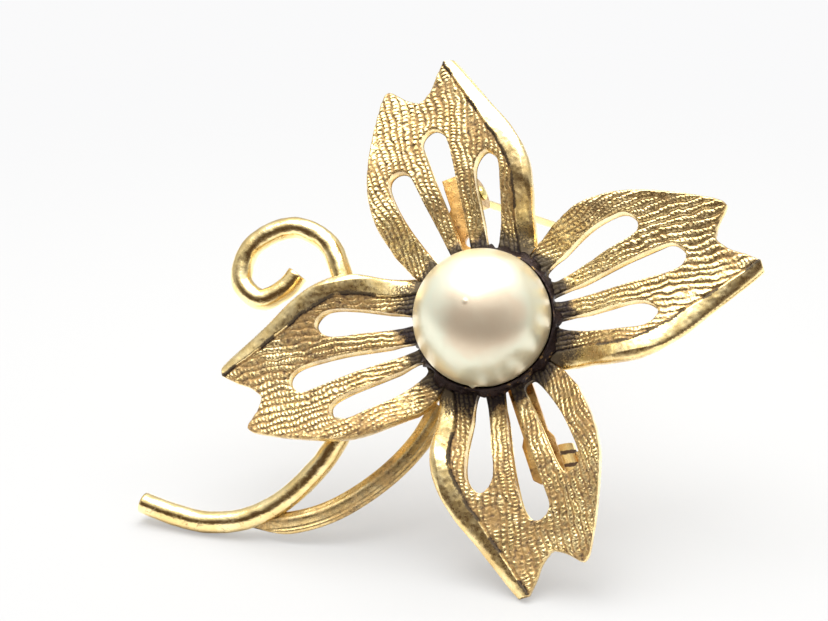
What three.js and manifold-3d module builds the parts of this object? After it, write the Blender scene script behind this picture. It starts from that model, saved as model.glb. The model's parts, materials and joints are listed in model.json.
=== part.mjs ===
// Flower brooch: four openwork petals round a domed pearl, a scrolled stem with a branch, and a pin back with a
// safety catch. Millimetres, +Z up. The flower faces -Y and leans back, standing on one petal tip and on its stem.
//
// Everything is drawn in the flower's own frame (x right, y up the face, z out of the face, origin on the flower's
// axis) and the whole group is then leaned back and stood on the floor.

import * as THREE from "three";
import { mergeVertices } from "three/addons/utils/BufferGeometryUtils.js";
import Module from "manifold-3d";

const wasm = await Module();
wasm.setup();

const deg = THREE.MathUtils.degToRad;

// ---- driving dimensions ----------------------------------------------------------------------------------------

const LEAN = 34.5; // the face leans back from upright
const TIP_TURN = 18.3; // the long petal tips stand this far round from the frame's axes
const CLEAR = 0.12; // gap between pieces that touch in the real brooch

const PEARL_R = 7;
const PEARL_Z = 5; // height of the pearl's widest circle
const PEARL_BACK_Z = 3.45;
const POST_R = 0.75;
const POST_TOP_Z = 6.2;

const HUB_R = 6.9;
const HUB_Z = [0.65, 1.75]; // back and front faces of the hub disc

const PETAL_T = 1; // at the root, where the hub is behind it
const RIB_DEPTH = 1.6; // out on the ribs
const ROOT_R = 4.6; // inner radius of the petal roots, under the pearl
const ROOT_Z = HUB_Z[1] + CLEAR + PETAL_T; // front face of the petals at their roots
const ROOT_ANGLE = 49; // where a petal's root meets its clockwise neighbour
const ROOT_SLIT = 1.2; // slit between two roots, in degrees
const PETAL_RISE = 1.65; // how far the petals stand forward of their roots
const CUP = 0.03; // sideways cupping of a petal
const LIP_R = 0.62; // rolled lip on the clockwise edge

const STEM_R = 1.12;
const SCROLL_Z = 2.6;
const BRANCH_W = 2.3;
const BRANCH_T = 1.1;
const BRANCH_Z = 1.1;

const BAR_TURN = -61.5; // direction of the pin bar, from hinge to catch
const BAR_SHIFT = 1.54; // the pin's line misses the flower's axis by this much
const BAR_ASIDE = -0.8; // from the pin's line to the bar's own centre line
const BAR_FROM = -16.4; // the bar's ends
const BAR_TO = 16.9;
const BAR_W = 2.6;
const BAR_END_W = 3.4;
const BAR_T = 0.65;
const BAR_FRONT_Z = HUB_Z[0] - CLEAR;
const BAR_BACK_Z = BAR_FRONT_Z - BAR_T;

const AXLE_DROP = 3.2; // rivet and catch centres stand this far behind the bar
const HINGE_S = -15.3; // hinge and catch places along the bar
const CATCH_S = 14.9;
const HINGE_TILT = 9.5; // the hinge's ears and rivet lean to one side
const EAR_T = 0.5;
const EAR_W = 3.5;
const EARS_W = 2.7; // over both ears
const RIVET_R = 0.5;
const RIVET_PLAY = 0.06;
const WIRE_R = 0.42;
const EYE_R = 1.05;
const PIN_L = CATCH_S - HINGE_S + 3.2;
const PIN_OPEN = 96.5; // the pin rests this far open

const SHELL_R = [1.55, 2.05];
const ROLLER_R = [0.85, 1.43];
const SHELL_L = 3.2;
const WINDOW_L = 1.7;
const ROLLER_L = 2.8;
const TAB_R = 3.1;
const TAB_T = 0.8;
const MOUTH = 34; // half-angle of the catch's mouth
const ROLLER_MOUTH = 42;

// ---- materials -------------------------------------------------------------------------------------------------

const finish = (color, roughness, metalness) =>
  new THREE.MeshStandardMaterial({ color, roughness, metalness });

const GOLD = finish(0xc9a35a, 0.35, 1);
const POLISHED_GOLD = finish(0xe6c97c, 0.2, 1);
const BACK_GOLD = finish(0xb98f45, 0.4, 1);
const DARK = finish(0x2c2119, 0.8, 0.3);
const SOLDER = finish(0x9a8a66, 0.5, 0.9);
const STEEL = finish(0xd8cfae, 0.25, 1);
const PEARL = finish(0xf3ead9, 0.15, 0);

// ---- solids ----------------------------------------------------------------------------------------------------

const v2 = ([x, y]) => new THREE.Vector2(x, y);
const polar = (r, angle) => [r * Math.cos(deg(angle)), r * Math.sin(deg(angle))];

function solid(geometry) {
  const bare = geometry.clone();
  bare.deleteAttribute("normal");
  bare.deleteAttribute("uv");
  const merged = mergeVertices(bare, 1e-4);
  return new wasm.Manifold(
    new wasm.Mesh({
      numProp: 3,
      vertProperties: merged.attributes.position.array,
      triVerts: new Uint32Array(merged.index.array),
    }),
  );
}

function geometryOf(made) {
  const mesh = made.getMesh();
  const geometry = new THREE.BufferGeometry();
  geometry.setAttribute("position", new THREE.BufferAttribute(mesh.vertProperties, 3));
  geometry.setIndex(new THREE.BufferAttribute(mesh.triVerts, 1));
  return geometry;
}

// The outline's points, with no point twice in a row.
function ring(path, segments) {
  const points = path.getPoints(segments);
  return points.filter((p, i) => p.distanceTo(points.at(i - 1)) > 1e-3);
}

// A flat outline made solid between two heights. The outline runs anticlockwise, so that its holes are turned to suit.
function slab(shape, low, high, curveSegments = 24) {
  const outer = ring(shape, curveSegments);
  if (THREE.ShapeUtils.isClockWise(outer)) outer.reverse();
  const plain = new THREE.Shape(outer);
  plain.holes = shape.holes.map((hole) => new THREE.Path(ring(hole, curveSegments)));
  const geometry = new THREE.ExtrudeGeometry(plain, { depth: high - low, bevelEnabled: false });
  return geometry.translate(0, 0, low);
}

// An outline swept along a curve.
function sweep(section, curve, steps) {
  return new THREE.ExtrudeGeometry(new THREE.Shape(ring(section, 5)), {
    extrudePath: curve,
    steps,
    bevelEnabled: false,
  });
}

function disc(r) {
  const shape = new THREE.Shape();
  shape.absarc(0, 0, r, 0, 2 * Math.PI);
  return shape;
}

function closedSpline(Kind, points) {
  const shape = new Kind();
  shape.moveTo(...points[0]);
  shape.splineThru(points.slice(1).map(v2));
  shape.closePath();
  return shape;
}

// A solid of revolution about the flower's axis, from (radius, height) pairs.
const turned = (profile, segments = 40) =>
  new THREE.LatheGeometry(profile.map(v2), segments).rotateX(Math.PI / 2);

// A low round blob of solder, standing forward of z, or hanging behind it.
function blob(r, height, x, y, z, behind = false) {
  const profile = [[0, 0]];
  for (let i = 0; i < 5; i++) profile.push([r * Math.cos(deg(i * 18)), height * Math.sin(deg(i * 18))]);
  profile.push([0, height]);
  const dome = turned(profile, 14);
  return (behind ? dome.rotateX(Math.PI) : dome).translate(x, y, z);
}

const smooth = (low, high, value) => THREE.MathUtils.smoothstep(value, low, high);

// ---- petals ----------------------------------------------------------------------------------------------------
// One petal is drawn with its long tip up its own y axis, then turned into four places.

const LEFT_EDGE = [
  [-8.3, 8.3],
  [-9.45, 11.6],
  [-9.8, 15],
  [-9.3, 18.4],
  [-8.3, 22],
  [-7.2, 24.9],
];
const SHORT_TIP = [-6.5, 25.6];
const NOTCH = [-3.6, 23.9];
const LONG_TIP_LEFT = [
  [-2.3, 25.1],
  [-1.4, 26.7],
  [-0.5, 28],
];
const LONG_TIP_RIGHT = [0.5, 28];
const RIGHT_EDGE = [
  [1.5, 26.2],
  [3.4, 22.9],
  [5.6, 19.2],
  [6.9, 15.6],
  [6.9, 12.6],
  [6.2, 9.6],
];
const LIP_LINE = [
  [0.5, 27.1],
  [1.5, 25],
  [3.1, 22.2],
  [5.1, 18.7],
  [6.3, 15.4],
  [6.35, 12.8],
  [5.75, 9.9],
  [5.4, 8.4],
];
const SLOTS = [
  [
    [-4.3, 7.1],
    [-6.4, 10.8],
    [-7.6, 14.4],
    [-7.6, 16],
    [-6.6, 16.8],
    [-5.5, 16.2],
    [-4.4, 12.8],
    [-3.2, 8.9],
    [-2.8, 7.4],
  ],
  [
    [-1.45, 7.4],
    [-2.5, 12.4],
    [-3.7, 17.8],
    [-3.9, 19.9],
    [-2.6, 20.9],
    [-1.4, 19.9],
    [-0.95, 16.8],
    [-0.7, 11],
    [-0.7, 7.4],
  ],
  [
    [1.15, 7.4],
    [1.05, 12],
    [1.2, 15.9],
    [2.6, 17.4],
    [3.8, 16],
    [3.55, 13],
    [2.8, 9.6],
    [2.15, 7.5],
  ],
];

// Height of a petal's front face: flat at the root, rising outwards, cupped, with its edges turned forward.
function petalZ(x, y) {
  const r = Math.hypot(x, y);
  const rise = PETAL_RISE * smooth(7.9, 16, r) - 0.3 * smooth(18, 24, r);
  const cup = CUP * Math.min((x + 1.4) ** 2, 60) * smooth(9, 15, r);
  return ROOT_Z + rise + cup;
}

// A petal is thin over the hub and deep on its ribs, and thins again towards its tips.
function petalDepth(x, y) {
  const r = Math.hypot(x, y);
  return PETAL_T + (RIB_DEPTH - PETAL_T) * (smooth(8.8, 10.6, r) - smooth(17, 25, r));
}

// A sheet that follows petalZ over a rectangle larger than the petal.
function petalSheet() {
  const [x0, x1, nx] = [-11, 8.5, 9];
  const [y0, y1, ny] = [2, 30, 13];
  const points = [];
  const index = [];
  const at = (i, j, back) => 2 * (j * (nx + 1) + i) + back;
  for (let j = 0; j <= ny; j++) {
    for (let i = 0; i <= nx; i++) {
      const x = x0 + ((x1 - x0) * i) / nx;
      const y = y0 + ((y1 - y0) * j) / ny;
      const z = petalZ(x, y);
      points.push(x, y, z, x, y, z - petalDepth(x, y));
    }
  }
  const quad = (a, b, c, d) => index.push(a, b, c, a, c, d);
  for (let j = 0; j < ny; j++) {
    for (let i = 0; i < nx; i++) {
      quad(at(i, j, 0), at(i + 1, j, 0), at(i + 1, j + 1, 0), at(i, j + 1, 0));
      quad(at(i, j, 1), at(i, j + 1, 1), at(i + 1, j + 1, 1), at(i + 1, j, 1));
    }
  }
  for (let i = 0; i < nx; i++) {
    quad(at(i, 0, 1), at(i + 1, 0, 1), at(i + 1, 0, 0), at(i, 0, 0));
    quad(at(i + 1, ny, 1), at(i, ny, 1), at(i, ny, 0), at(i + 1, ny, 0));
  }
  for (let j = 0; j < ny; j++) {
    quad(at(0, j + 1, 1), at(0, j, 1), at(0, j, 0), at(0, j + 1, 0));
    quad(at(nx, j, 1), at(nx, j + 1, 1), at(nx, j + 1, 0), at(nx, j, 0));
  }
  const geometry = new THREE.BufferGeometry();
  geometry.setAttribute("position", new THREE.Float32BufferAttribute(points, 3));
  geometry.setIndex(index);
  return geometry;
}

function petalOutline() {
  const left = ROOT_ANGLE + 90 - ROOT_SLIT;
  const shape = new THREE.Shape();
  shape.moveTo(...polar(9.5, left));
  shape.splineThru(LEFT_EDGE.map(v2));
  shape.lineTo(...SHORT_TIP);
  shape.lineTo(...NOTCH);
  shape.splineThru(LONG_TIP_LEFT.map(v2));
  shape.lineTo(...LONG_TIP_RIGHT);
  shape.splineThru(RIGHT_EDGE.map(v2));
  shape.lineTo(...polar(9.2, ROOT_ANGLE));
  shape.lineTo(...polar(ROOT_R, ROOT_ANGLE));
  shape.absarc(0, 0, ROOT_R, deg(ROOT_ANGLE), deg(left), false);
  shape.closePath();
  shape.holes = SLOTS.map((points) => closedSpline(THREE.Path, points));
  return shape;
}

function petalGeometry() {
  const sheet = solid(petalSheet());
  const outline = solid(slab(petalOutline(), 0, 12, 3));
  const line = LIP_LINE.map(([x, y]) => new THREE.Vector3(x, y, petalZ(x, y) - 0.15));
  const lip = solid(sweep(disc(LIP_R), new THREE.CatmullRomCurve3(line), 14));
  return geometryOf(sheet.intersect(outline).add(lip));
}

// ---- centre ----------------------------------------------------------------------------------------------------

const hubGeometry = () =>
  turned([
    [0, HUB_Z[0]],
    [HUB_R - 0.2, HUB_Z[0]],
    [HUB_R, HUB_Z[0] + 0.2],
    [HUB_R, HUB_Z[1] - 0.2],
    [HUB_R - 0.2, HUB_Z[1]],
    [0, HUB_Z[1]],
  ]);

// The dark cup that the pearl is set in; its rim hugs the pearl.
function seatGeometry() {
  const low = ROOT_Z + 0.2;
  const ball = (z) => Math.sqrt(PEARL_R ** 2 - (z - PEARL_Z) ** 2);
  return turned([
    [4.2, low],
    [7.4, low],
    [7.36, low + 0.55],
    [7.22, low + 0.95],
    [ball(low + 0.95) + CLEAR, low + 0.95],
    [ball(PEARL_BACK_Z) + CLEAR, PEARL_BACK_Z - CLEAR],
    [4.2, PEARL_BACK_Z - CLEAR],
    [4.2, low],
  ]);
}

// A dome with a flat back and a blind hole for the post.
function pearlGeometry() {
  const hole = POST_R + CLEAR;
  const profile = [
    [0, POST_TOP_Z + CLEAR],
    [hole, POST_TOP_Z + CLEAR],
    [hole, PEARL_BACK_Z],
  ];
  const first = Math.asin((PEARL_BACK_Z - PEARL_Z) / PEARL_R);
  const steps = 12;
  for (let i = 0; i < steps; i++) {
    const a = first + ((Math.PI / 2 - first) * i) / steps;
    profile.push([PEARL_R * Math.cos(a), PEARL_Z + PEARL_R * Math.sin(a)]);
  }
  profile.push([0, PEARL_Z + PEARL_R]);
  return turned(profile, 32);
}

const postGeometry = () =>
  turned(
    [
      [0, HUB_Z[1] + CLEAR],
      [POST_R, HUB_Z[1] + CLEAR],
      [POST_R, POST_TOP_Z - 0.2],
      [POST_R - 0.2, POST_TOP_Z],
      [0, POST_TOP_Z],
    ],
    16,
  );

// ---- stems -----------------------------------------------------------------------------------------------------

// Centre lines in the flower's frame. The stem ends behind the left petal's outer rib, and the scroll starts behind
// the same petal's lip.
const STEM_LINE = [
  [-33.1, -23.2, 1.6],
  [-29.4, -23.9, 1.6],
  [-25.6, -24.1, 1.6],
  [-21.6, -23.1, 1.6],
  [-17.9, -20.6, 1.7],
  [-14.9, -16.9, 2],
  [-13.3, -14, 2.6],
  [-12.7, -12, 3.1],
];
const SCROLL_LINE = [
  [-15.2, 0.5],
  [-16.3, 3.2],
  [-18.6, 6.3],
  [-22.6, 7.4],
  [-26.5, 5],
  [-27, 1.2],
  [-24.5, -0.6],
  [-22.1, 0.8],
  [-21, 2.5],
];
const BRANCH_LINE = [
  [-22, -23.6],
  [-16.8, -22.7],
  [-12.4, -20.6],
  [-8.2, -16.9],
  [-5.3, -12.9],
  [-3.5, -8.2],
  [-2.9, -6.2],
];

const curveThrough = (points, level) =>
  new THREE.CatmullRomCurve3(points.map(([x, y, z = level]) => new THREE.Vector3(x, y, z)));

const stemGeometry = (r = STEM_R) => sweep(disc(r), curveThrough(STEM_LINE), 32);
const scrollGeometry = () => sweep(disc(STEM_R), curveThrough(SCROLL_LINE, SCROLL_Z), 44);

// The branch is a flat band with a raised ridge along it, cut back from the stem and from the hub.
function branchGeometry() {
  const [t, w] = [BRANCH_T / 2, BRANCH_W / 2];
  const section = new THREE.Shape(
    [
      [-t, -w + 0.3],
      [-t + 0.3, -w],
      [t - 0.5, -w],
      [t, -0.2],
      [t, 0.2],
      [t - 0.5, w],
      [-t + 0.3, w],
      [-t, w - 0.3],
    ].map(v2),
  );
  const band = solid(sweep(section, curveThrough(BRANCH_LINE, BRANCH_Z), 22));
  const hub = solid(slab(disc(HUB_R + CLEAR), -2, 6, 20));
  const pieces = band.subtract(solid(stemGeometry(STEM_R + CLEAR))).subtract(hub).decompose();
  pieces.sort((one, other) => other.volume() - one.volume());
  return geometryOf(pieces[0]);
}

// ---- pin back --------------------------------------------------------------------------------------------------
// Drawn along x from the hinge to the catch, y across the bar, z out of the face, then turned into place.

const AXLE_Z = BAR_BACK_Z - AXLE_DROP;

function barGeometry() {
  const [w, e] = [BAR_W / 2, BAR_END_W / 2];
  const shape = new THREE.Shape(
    [
      [BAR_FROM, -0.6],
      [BAR_FROM + 0.4, -1],
      [BAR_FROM + 2.8, -1],
      [BAR_FROM + 3.2, -w],
      [BAR_TO - 5, -w],
      [BAR_TO - 4.2, -e],
      [BAR_TO - 0.6, -e],
      [BAR_TO, -e + 0.6],
      [BAR_TO, e - 0.6],
      [BAR_TO - 0.6, e],
      [BAR_TO - 4.2, e],
      [BAR_TO - 5, w],
      [BAR_FROM + 0.6, w],
      [BAR_FROM, w - 0.6],
    ].map(v2),
  );
  for (const x of [-9.5, 9]) {
    const hole = new THREE.Path();
    hole.absarc(x, 0, 0.65, 0, 2 * Math.PI);
    shape.holes.push(hole);
  }
  return slab(shape, BAR_BACK_Z, BAR_FRONT_Z, 8).translate(0, BAR_ASIDE, 0);
}

// A cylinder across the bar, centred on the hinge axis before that is tilted.
function acrossBar(r, half, segments = 16) {
  return new THREE.CylinderGeometry(r, r, 2 * half, segments).translate(HINGE_S, 0, AXLE_Z);
}

// Leans a geometry to the hinge's tilt, about the middle of the rivet.
const tilted = (geometry) =>
  geometry
    .translate(-HINGE_S, 0, -AXLE_Z)
    .rotateX(deg(HINGE_TILT))
    .translate(HINGE_S, 0, AXLE_Z);

// The bracket's base lies flat on the bar and its two ears lean.
function bracketGeometry() {
  const front = BAR_BACK_Z - CLEAR;
  const half = EARS_W / 2;
  const base = new THREE.BoxGeometry(EAR_W, EARS_W + 0.06, EAR_T);
  base.translate(HINGE_S, -0.47, front - EAR_T / 2);
  let bracket = solid(base);
  const ear = new THREE.Shape();
  ear.moveTo(-EAR_W / 2, front + 0.4);
  ear.lineTo(-EAR_W / 2, AXLE_Z);
  ear.absarc(0, AXLE_Z, EAR_W / 2, Math.PI, 2 * Math.PI, false);
  ear.lineTo(EAR_W / 2, front + 0.4);
  ear.closePath();
  for (const y of [-half, half - EAR_T]) {
    const plate = slab(ear, -EAR_T, 0, 8).rotateX(Math.PI / 2).translate(HINGE_S, y, 0);
    bracket = bracket.add(solid(tilted(plate)));
  }
  const above = new THREE.BoxGeometry(10, 10, 4).translate(HINGE_S, 0, front + 2);
  const bore = tilted(acrossBar(RIVET_R + RIVET_PLAY, half + 1));
  return geometryOf(bracket.subtract(solid(above)).subtract(solid(bore)));
}

function rivetGeometry() {
  const face = EARS_W / 2 + CLEAR / 2;
  const profile = [
    [0, -face - 0.35],
    [0.55, -face - 0.3],
    [0.85, -face],
    [RIVET_R, -face],
    [RIVET_R, face],
    [0.85, face],
    [0.55, face + 0.3],
    [0, face + 0.35],
  ];
  return tilted(new THREE.LatheGeometry(profile.map(v2), 16).translate(HINGE_S, 0, AXLE_Z));
}

// Drawn shut, pointing at the catch, then swung open about the rivet.
function pinGeometry() {
  const eye = solid(acrossBar(EYE_R, EARS_W / 2 - EAR_T - CLEAR));
  const profile = [
    [0, 0],
    [WIRE_R, 0],
    [WIRE_R, PIN_L - 3.6],
    [WIRE_R * 0.55, PIN_L - 1.2],
    [0, PIN_L],
  ];
  const wire = new THREE.LatheGeometry(profile.map(v2), 12).rotateZ(-Math.PI / 2);
  const joined = eye
    .add(solid(wire.translate(HINGE_S, 0, AXLE_Z)))
    .subtract(solid(acrossBar(RIVET_R + RIVET_PLAY, EARS_W)));
  const swung = geometryOf(joined)
    .translate(-HINGE_S, 0, -AXLE_Z)
    .rotateY(deg(PIN_OPEN))
    .translate(HINGE_S, 0, AXLE_Z);
  return tilted(swung);
}

// Part of a tube round the catch's axis, open towards the back over the mouth's angles.
function cTube([inner, outer], length, mouthFrom, mouthTo) {
  const shape = new THREE.Shape();
  const from = deg(mouthTo);
  const to = deg(mouthFrom) + 2 * Math.PI;
  shape.absarc(0, 0, outer, from, to, false);
  shape.absarc(0, 0, inner, to, from, true);
  shape.closePath();
  return slab(shape, -length / 2, length / 2, 10);
}

// The catch's outlines are drawn with +x towards the back and +y across the bar.
const placeCatch = (geometry) =>
  geometry
    .applyMatrix4(
      new THREE.Matrix4().makeBasis(
        new THREE.Vector3(0, 0, -1),
        new THREE.Vector3(0, 1, 0),
        new THREE.Vector3(1, 0, 0),
      ),
    )
    .translate(CATCH_S, 0, AXLE_Z);

function catchBodyGeometry() {
  const ringL = (SHELL_L - WINDOW_L) / 2;
  const middle = solid(cTube(SHELL_R, SHELL_L, -MOUTH, 112));
  const end = (side) =>
    solid(
      cTube(SHELL_R, ringL, -MOUTH, MOUTH).translate(0, 0, (side * (SHELL_L - ringL)) / 2),
    );
  const foot = new THREE.BoxGeometry(AXLE_DROP - SHELL_R[1] - CLEAR + 0.25, 1.8, SHELL_L);
  foot.translate(-SHELL_R[1] - (AXLE_DROP - SHELL_R[1] - CLEAR - 0.25) / 2, BAR_ASIDE / 2, 0);
  const body = middle.add(end(-1)).add(end(1)).add(solid(foot));
  return placeCatch(geometryOf(body));
}

function rollerGeometry() {
  const tube = solid(cTube(ROLLER_R, ROLLER_L, -ROLLER_MOUTH, ROLLER_MOUTH));
  const length = TAB_R - ROLLER_R[1] + 0.2;
  const tab = new THREE.BoxGeometry(TAB_T, length, WINDOW_L - 0.4);
  tab.translate(0, TAB_R - length / 2, 0);
  return placeCatch(geometryOf(tube.add(solid(tab))));
}

// ---- assembly --------------------------------------------------------------------------------------------------

const brooch = new THREE.Group();
const face = new THREE.Group();
face.rotation.x = deg(90 - LEAN);
brooch.add(face);

const pinBack = new THREE.Group();
const across = polar(BAR_SHIFT, BAR_TURN + 90);
pinBack.rotation.z = deg(BAR_TURN);
pinBack.position.set(across[0], across[1], 0);
face.add(pinBack);

function piece(parent, name, geometry, material) {
  const mesh = new THREE.Mesh(geometry, material);
  mesh.name = name;
  parent.add(mesh);
  return mesh;
}

["top", "right", "bottom", "left"].forEach((side, k) => {
  const petal = piece(face, "petal_" + side, petalGeometry(), GOLD);
  petal.rotation.z = deg(TIP_TURN - 90 * k);
});

piece(face, "centre_hub", hubGeometry(), BACK_GOLD);
piece(face, "pearl_post", postGeometry(), BACK_GOLD);
piece(face, "pearl_seat", seatGeometry(), DARK);
piece(face, "pearl", pearlGeometry(), PEARL);

piece(face, "stem", stemGeometry(), POLISHED_GOLD);
piece(face, "scroll", scrollGeometry(), POLISHED_GOLD);
piece(face, "branch", branchGeometry(), GOLD);
piece(face, "solder_scroll", blob(0.9, 0.3, -15.4, 0.9, SCROLL_Z + STEM_R + 0.02), SOLDER);
piece(face, "solder_branch", blob(1.2, 0.45, -3.05, -6.75, HUB_Z[0] - CLEAR, true), SOLDER);

piece(pinBack, "pin_bar", barGeometry(), BACK_GOLD);
for (const [name, y] of [
  ["solder_bar_left", -1],
  ["solder_bar_right", 1],
]) {
  const reach = BAR_ASIDE + y * (BAR_W / 2 + 1 + CLEAR);
  piece(pinBack, name, blob(1, 0.5, 0, reach, HUB_Z[0] - CLEAR, true), SOLDER);
}
piece(pinBack, "hinge_bracket", bracketGeometry(), BACK_GOLD);
piece(pinBack, "hinge_rivet", rivetGeometry(), STEEL);
piece(pinBack, "pin_stem", pinGeometry(), STEEL);
piece(pinBack, "catch_body", catchBodyGeometry(), BACK_GOLD);
piece(pinBack, "catch_roller", rollerGeometry(), BACK_GOLD);

// Stand it on the floor, centred on the origin.
brooch.updateMatrixWorld(true);
const box = new THREE.Box3().setFromObject(brooch, true);
const middle = box.getCenter(new THREE.Vector3());
brooch.position.set(-middle.x, -middle.y, -box.min.z);

export default brooch;
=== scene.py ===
import json
import math

import bpy
import numpy as np
from mathutils import Matrix, Vector, kdtree
from mathutils.geometry import delaunay_2d_cdt


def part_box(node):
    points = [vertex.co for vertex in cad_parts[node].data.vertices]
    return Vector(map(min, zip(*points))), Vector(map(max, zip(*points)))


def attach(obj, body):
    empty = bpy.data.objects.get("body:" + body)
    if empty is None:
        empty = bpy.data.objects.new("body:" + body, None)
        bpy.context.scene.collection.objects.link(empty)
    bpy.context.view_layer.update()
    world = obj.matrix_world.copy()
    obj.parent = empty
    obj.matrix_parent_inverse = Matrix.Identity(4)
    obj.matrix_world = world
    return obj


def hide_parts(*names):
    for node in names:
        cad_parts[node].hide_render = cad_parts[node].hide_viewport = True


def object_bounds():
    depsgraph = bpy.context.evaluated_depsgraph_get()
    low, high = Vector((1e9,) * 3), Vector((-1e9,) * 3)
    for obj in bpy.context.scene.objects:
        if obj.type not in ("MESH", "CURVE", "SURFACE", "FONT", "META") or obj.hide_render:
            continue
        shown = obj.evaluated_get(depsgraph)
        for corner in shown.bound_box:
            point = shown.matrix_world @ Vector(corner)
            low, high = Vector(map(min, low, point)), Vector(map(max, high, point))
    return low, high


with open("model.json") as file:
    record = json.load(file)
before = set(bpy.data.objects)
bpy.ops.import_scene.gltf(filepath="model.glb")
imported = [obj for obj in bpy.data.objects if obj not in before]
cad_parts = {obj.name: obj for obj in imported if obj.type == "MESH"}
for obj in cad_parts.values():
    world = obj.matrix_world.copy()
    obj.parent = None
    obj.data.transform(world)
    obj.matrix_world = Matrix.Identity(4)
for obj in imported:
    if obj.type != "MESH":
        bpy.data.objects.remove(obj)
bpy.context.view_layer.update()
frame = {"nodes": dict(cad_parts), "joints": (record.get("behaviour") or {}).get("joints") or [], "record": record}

MM = 0.001

# ---- the flower's own frame ----------------------------------------------------------------------
# x to the flower's right, y up its face, z out of its face, in millimetres. Its origin is on the
# flower's axis.

DOME_TOP = 12.0  # the pearl's highest point above the origin
TIP_TURN = 18.3  # how far round each petal's long tip stands from the frame's axes, in degrees


def mount(name):
    return next(m for m in frame["record"]["mounts"] if m["name"] == name)


def joint(name):
    return next(j for j in frame["joints"] if j["name"] == name)


def node_points(name):
    return [v.co.copy() for v in frame["nodes"][name].data.vertices]


OUT = -Vector(mount("back_rest")["axis"]).normalized()
RIGHT = Vector((1, 0, 0))
UP = OUT.cross(RIGHT).normalized()
pearl_top = max(node_points("pearl"), key=lambda p: p.dot(OUT))
pearl_low, pearl_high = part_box("pearl")
FLOWER = pearl_top - OUT * DOME_TOP * MM
FLOWER.x = (pearl_low.x + pearl_high.x) / 2


def basis(origin, x_axis, y_axis, z_axis):
    """The matrix from millimetres in a frame to metres in the row frame."""
    turn = Matrix((x_axis, y_axis, z_axis)).transposed().to_4x4()
    return Matrix.Translation(origin) @ turn @ Matrix.Scale(MM, 4)


FACE = basis(FLOWER, RIGHT, UP, OUT)
CATCH = Vector(joint("catch_turn")["pos_m"])
ALONG_BAR = Vector(joint("catch_turn")["axis"]).normalized()


def turned(degrees):
    """The flower's frame turned about the flower's axis."""
    return FACE @ Matrix.Rotation(math.radians(degrees), 4, "Z")


# ---- curves and noise ----------------------------------------------------------------------------


def spline(points, step, closed=False):
    """A Catmull-Rom curve through the points, sampled about every step."""
    known = [np.array(p, float) for p in points]
    count = len(known)
    out = []
    for i in range(count if closed else count - 1):
        p1, p2 = known[i], known[(i + 1) % count]
        p0 = known[i - 1] if closed or i > 0 else p1
        p3 = known[(i + 2) % count] if closed or i + 2 < count else p2
        pieces = max(2, round(np.linalg.norm(p2 - p1) / step))
        for k in range(pieces):
            t = k / pieces
            out.append(
                0.5 * (2 * p1 + (p2 - p0) * t + (2 * p0 - 5 * p1 + 4 * p2 - p3) * t**2
                       + (3 * p1 - p0 - 3 * p2 + p3) * t**3)
            )
    if not closed:
        out.append(known[-1])
    return np.array(out)


def evenly(points, step, closed=False):
    """The same line with its points about step apart."""
    line = np.vstack([points, points[:1]]) if closed else np.asarray(points)
    lengths = np.concatenate([[0], np.cumsum(np.linalg.norm(np.diff(line, axis=0), axis=1))])
    count = max(3, round(lengths[-1] / step))
    where = np.linspace(0, lengths[-1], count + 1)
    even = np.stack([np.interp(where, lengths, line[:, k]) for k in range(line.shape[1])], 1)
    return even[:-1] if closed else even


def chance(i, j, seed):
    """A steady number from 0 to 1 for each lattice point."""
    value = np.sin(i * 127.1 + j * 311.7 + seed * 74.7) * 43758.5453
    return value - np.floor(value)


def grain(x, y, size, seed):
    """Smooth noise from -1 to 1 with features of that size."""
    x, y = x / size, y / size
    i, j = np.floor(x), np.floor(y)
    u, v = x - i, y - j
    u, v = u * u * (3 - 2 * u), v * v * (3 - 2 * v)
    low = chance(i, j, seed) * (1 - u) + chance(i + 1, j, seed) * u
    high = chance(i, j + 1, seed) * (1 - u) + chance(i + 1, j + 1, seed) * u
    return 2 * (low * (1 - v) + high * v) - 1


def ease(low, high, value):
    t = np.clip((value - low) / (high - low), 0, 1)
    return t * t * (3 - 2 * t)


class Near:
    """Which of a set of samples is nearest to each point, and how far off it is."""

    def __init__(self, samples):
        self.tree = kdtree.KDTree(len(samples))
        for i, p in enumerate(samples):
            self.tree.insert((p[0], p[1], 0), i)
        self.tree.balance()

    def __call__(self, x, y):
        found = [self.tree.find((a, b, 0)) for a, b in zip(x, y)]
        return np.array([f[1] for f in found]), np.array([f[2] for f in found])


# ---- meshes --------------------------------------------------------------------------------------


def add_piece(name, body, nodes, points, faces, place, materials, values=None, face_slots=None):
    """A mesh piece that stands for CAD nodes. Its points are millimetres in the place's frame."""
    mesh = bpy.data.meshes.new(name)
    m = np.array(place)
    world = np.asarray(points, float) @ m[:3, :3].T + m[:3, 3]
    mesh.from_pydata([tuple(p) for p in world], [], faces)
    for key, numbers in (values or {}).items():
        layer = mesh.attributes.new(key, "FLOAT", "POINT")
        layer.data.foreach_set("value", np.asarray(numbers, np.float32))
    for material in materials:
        mesh.materials.append(material)
    if face_slots is not None:
        mesh.polygons.foreach_set("material_index", np.asarray(face_slots, np.int32))
    mesh.shade_smooth()
    mesh.update()
    piece = bpy.data.objects.new(name, mesh)
    bpy.context.scene.collection.objects.link(piece)
    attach(piece, body)
    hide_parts(*nodes)
    return piece


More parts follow.
